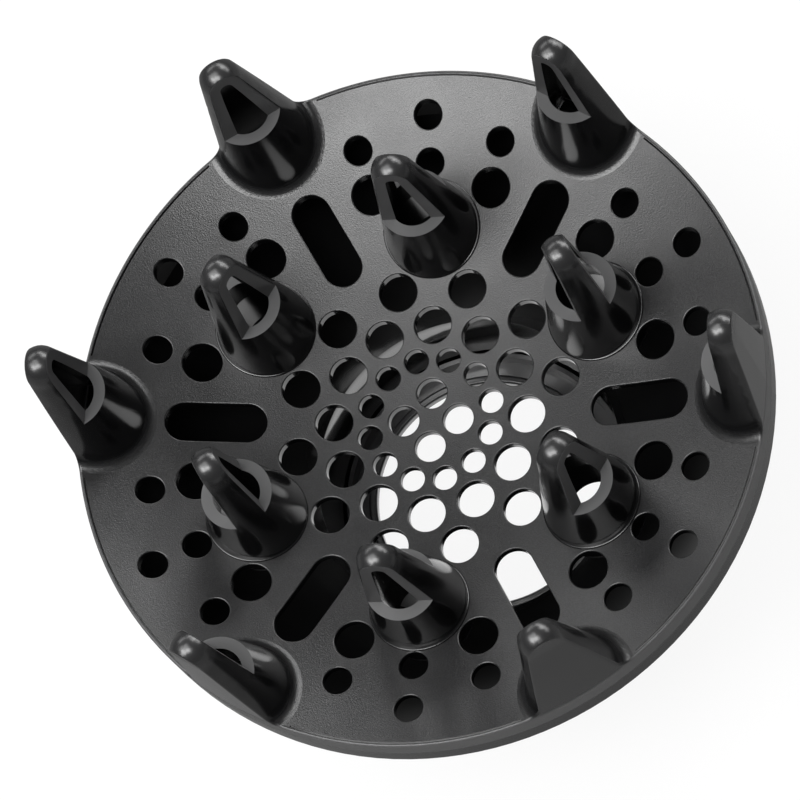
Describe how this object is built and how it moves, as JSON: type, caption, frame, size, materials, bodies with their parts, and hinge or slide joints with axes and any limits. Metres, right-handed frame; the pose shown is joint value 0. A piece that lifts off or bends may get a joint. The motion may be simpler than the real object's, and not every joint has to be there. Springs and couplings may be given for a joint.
{
  "type": "hair dryer diffuser",
  "caption": "Round finger diffuser for a hair dryer: dished front plate with air holes and hollow fingers, twist-off funnel and rubber nozzle grip.",
  "frame": {"origin": "centre of the rear end, on the axis, at the collar's rear face", "axes": "+Z along the axis towards the finger tips, +X through an edge finger"},
  "size_m": [0.148, 0.148, 0.111],
  "materials": {
    "grained_plastic": "fine spark-eroded grain, semi-matte black",
    "glossy_plastic": "smooth moulded black with a soft gloss",
    "shell_plastic": "smooth moulded black, satin gloss",
    "collar_plastic": "matte black, fluted for grip",
    "rubber": "matte black silicone rubber",
    "acetal": "waxy black moulded plastic"
  },
  "bodies": {
    "shell": {"rear_shell": "shell_plastic", "rim_seal": "rubber"},
    "front": {"front_plate": "grained_plastic", "inner_finger_1": "glossy_plastic", "inner_finger_2": "glossy_plastic", "inner_finger_3": "glossy_plastic", "inner_finger_4": "glossy_plastic", "inner_finger_5": "glossy_plastic", "inner_finger_6": "glossy_plastic", "finger_lock_rings": "acetal"},
    "collar": {"neck_collar": "collar_plastic", "grip_ring": "rubber"}
  },
  "joints": [
    {"name": "front_twist", "type": "hinge", "parent": "shell", "child": "front", "pos_m": [0, 0, 0.064], "axis": [0, 0, 1], "range_deg": [0, 22]},
    {"name": "collar_twist", "type": "hinge", "parent": "shell", "child": "collar", "pos_m": [0, 0, 0.005], "axis": [0, 0, -1], "range_deg": [0, 22]}
  ]
}
